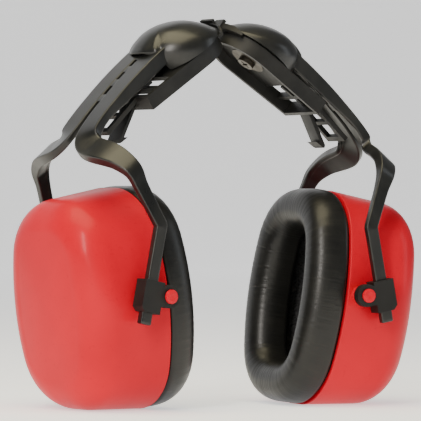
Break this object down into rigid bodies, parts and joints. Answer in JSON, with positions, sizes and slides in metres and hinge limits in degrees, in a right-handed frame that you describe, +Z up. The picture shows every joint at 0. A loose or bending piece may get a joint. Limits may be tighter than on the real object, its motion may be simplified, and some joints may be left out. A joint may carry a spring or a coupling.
{
  "type": "earmuff hearing protector",
  "caption": "Helmet-mounted earmuffs: hard cups with padded seal rings on forked spring arms that swivel on slot-in helmet clips.",
  "frame": {"origin": "on the floor, at the middle of the pair's bounding box", "axes": "+X from the left unit to the right unit, +Y away from the front blocks, towards the rear ones, +Z up"},
  "size_m": [0.1978, 0.096, 0.1803],
  "materials": {
    "cup_red": "satin",
    "arm_plastic": "satin",
    "block_plastic": "matte",
    "black_plastic": "satin",
    "cushion_skin": "satin",
    "cushion_core": "matte",
    "liner_foam": "matte",
    "spring_steel": "satin",
    "zinc_steel": "satin"
  },
  "bodies": {
    "right_adapter": {"right_helmet_adapter": "black_plastic"},
    "right_latch": {"right_latch_tongue": "black_plastic"},
    "right_arm": {"right_fork_arm": "arm_plastic", "right_spring_washer": "spring_steel", "right_plain_washer": "zinc_steel", "right_pivot_screw": "zinc_steel"},
    "right_front_block": {"right_front_height_block": "block_plastic"},
    "right_rear_block": {"right_rear_height_block": "block_plastic"},
    "right_cup": {"right_cup_shell": "cup_red", "right_foam_liner": "liner_foam", "right_seal_plate": "black_plastic", "right_cushion_cover": "cushion_skin", "right_cushion_foam": "cushion_core"},
    "left_adapter": {"left_helmet_adapter": "black_plastic"},
    "left_latch": {"left_latch_tongue": "black_plastic"},
    "left_arm": {"left_fork_arm": "arm_plastic", "left_spring_washer": "spring_steel", "left_plain_washer": "zinc_steel", "left_pivot_screw": "zinc_steel"},
    "left_front_block": {"left_front_height_block": "block_plastic"},
    "left_rear_block": {"left_rear_height_block": "block_plastic"},
    "left_cup": {"left_cup_shell": "cup_red", "left_foam_liner": "liner_foam", "left_seal_plate": "black_plastic", "left_cushion_cover": "cushion_skin", "left_cushion_foam": "cushion_core"}
  },
  "joints": [
    {"name": "units_part", "type": "slide", "parent": "left_adapter", "child": "right_adapter", "axis": [1, 0, 0], "range_m": [0, 0.08]},
    {"name": "right_arm_swivel", "type": "hinge", "parent": "right_adapter", "child": "right_arm", "pos_m": [0.02003, 0.00402, 0.16437], "axis": [0.5775, -0.0607, 0.8141], "range_deg": [-30, 30]},
    {"name": "right_latch_flex", "type": "hinge", "parent": "right_adapter", "child": "right_latch", "pos_m": [0.04838, 0.00104, 0.13839], "axis": [0.1045, 0.9945, 0], "range_deg": [-8, 2], "stiffness_Nm_per_rad": 1.2},
    {"name": "right_front_height", "type": "slide", "parent": "right_arm", "child": "right_front_block", "axis": [-0.1933, 0.0203, 0.9809], "range_m": [-0.004, 0.012]},
    {"name": "right_rear_height", "type": "slide", "parent": "right_arm", "child": "right_rear_block", "axis": [-0.1933, 0.0203, 0.9809], "range_m": [-0.004, 0.012]},
    {"name": "right_cup_tilt", "type": "hinge", "parent": "right_front_block", "child": "right_cup", "pos_m": [0.0583, 0, 0.05237], "axis": [0.1045, 0.9945, 0], "range_deg": [-10, 10]},
    {"name": "left_arm_swivel", "type": "hinge", "parent": "left_adapter", "child": "left_arm", "pos_m": [-0.02003, 0.00402, 0.16437], "axis": [-0.5775, -0.0607, 0.8141], "range_deg": [-30, 30]},
    {"name": "left_latch_flex", "type": "hinge", "parent": "left_adapter", "child": "left_latch", "pos_m": [-0.04838, 0.00104, 0.13839], "axis": [0.1045, -0.9945, 0], "range_deg": [-8, 2], "stiffness_Nm_per_rad": 1.2},
    {"name": "left_front_height", "type": "slide", "parent": "left_arm", "child": "left_front_block", "axis": [0.1933, 0.0203, 0.9809], "range_m": [-0.004, 0.012]},
    {"name": "left_rear_height", "type": "slide", "parent": "left_arm", "child": "left_rear_block", "axis": [0.1933, 0.0203, 0.9809], "range_m": [-0.004, 0.012]},
    {"name": "left_cup_tilt", "type": "hinge", "parent": "left_front_block", "child": "left_cup", "pos_m": [-0.0583, 0, 0.05237], "axis": [0.1045, -0.9945, 0], "range_deg": [-10, 10]}
  ],
  "couplings": [
    {"joint": "right_rear_height", "follows": "right_front_height", "ratio": 1},
    {"joint": "left_rear_height", "follows": "left_front_height", "ratio": 1}
  ]
}
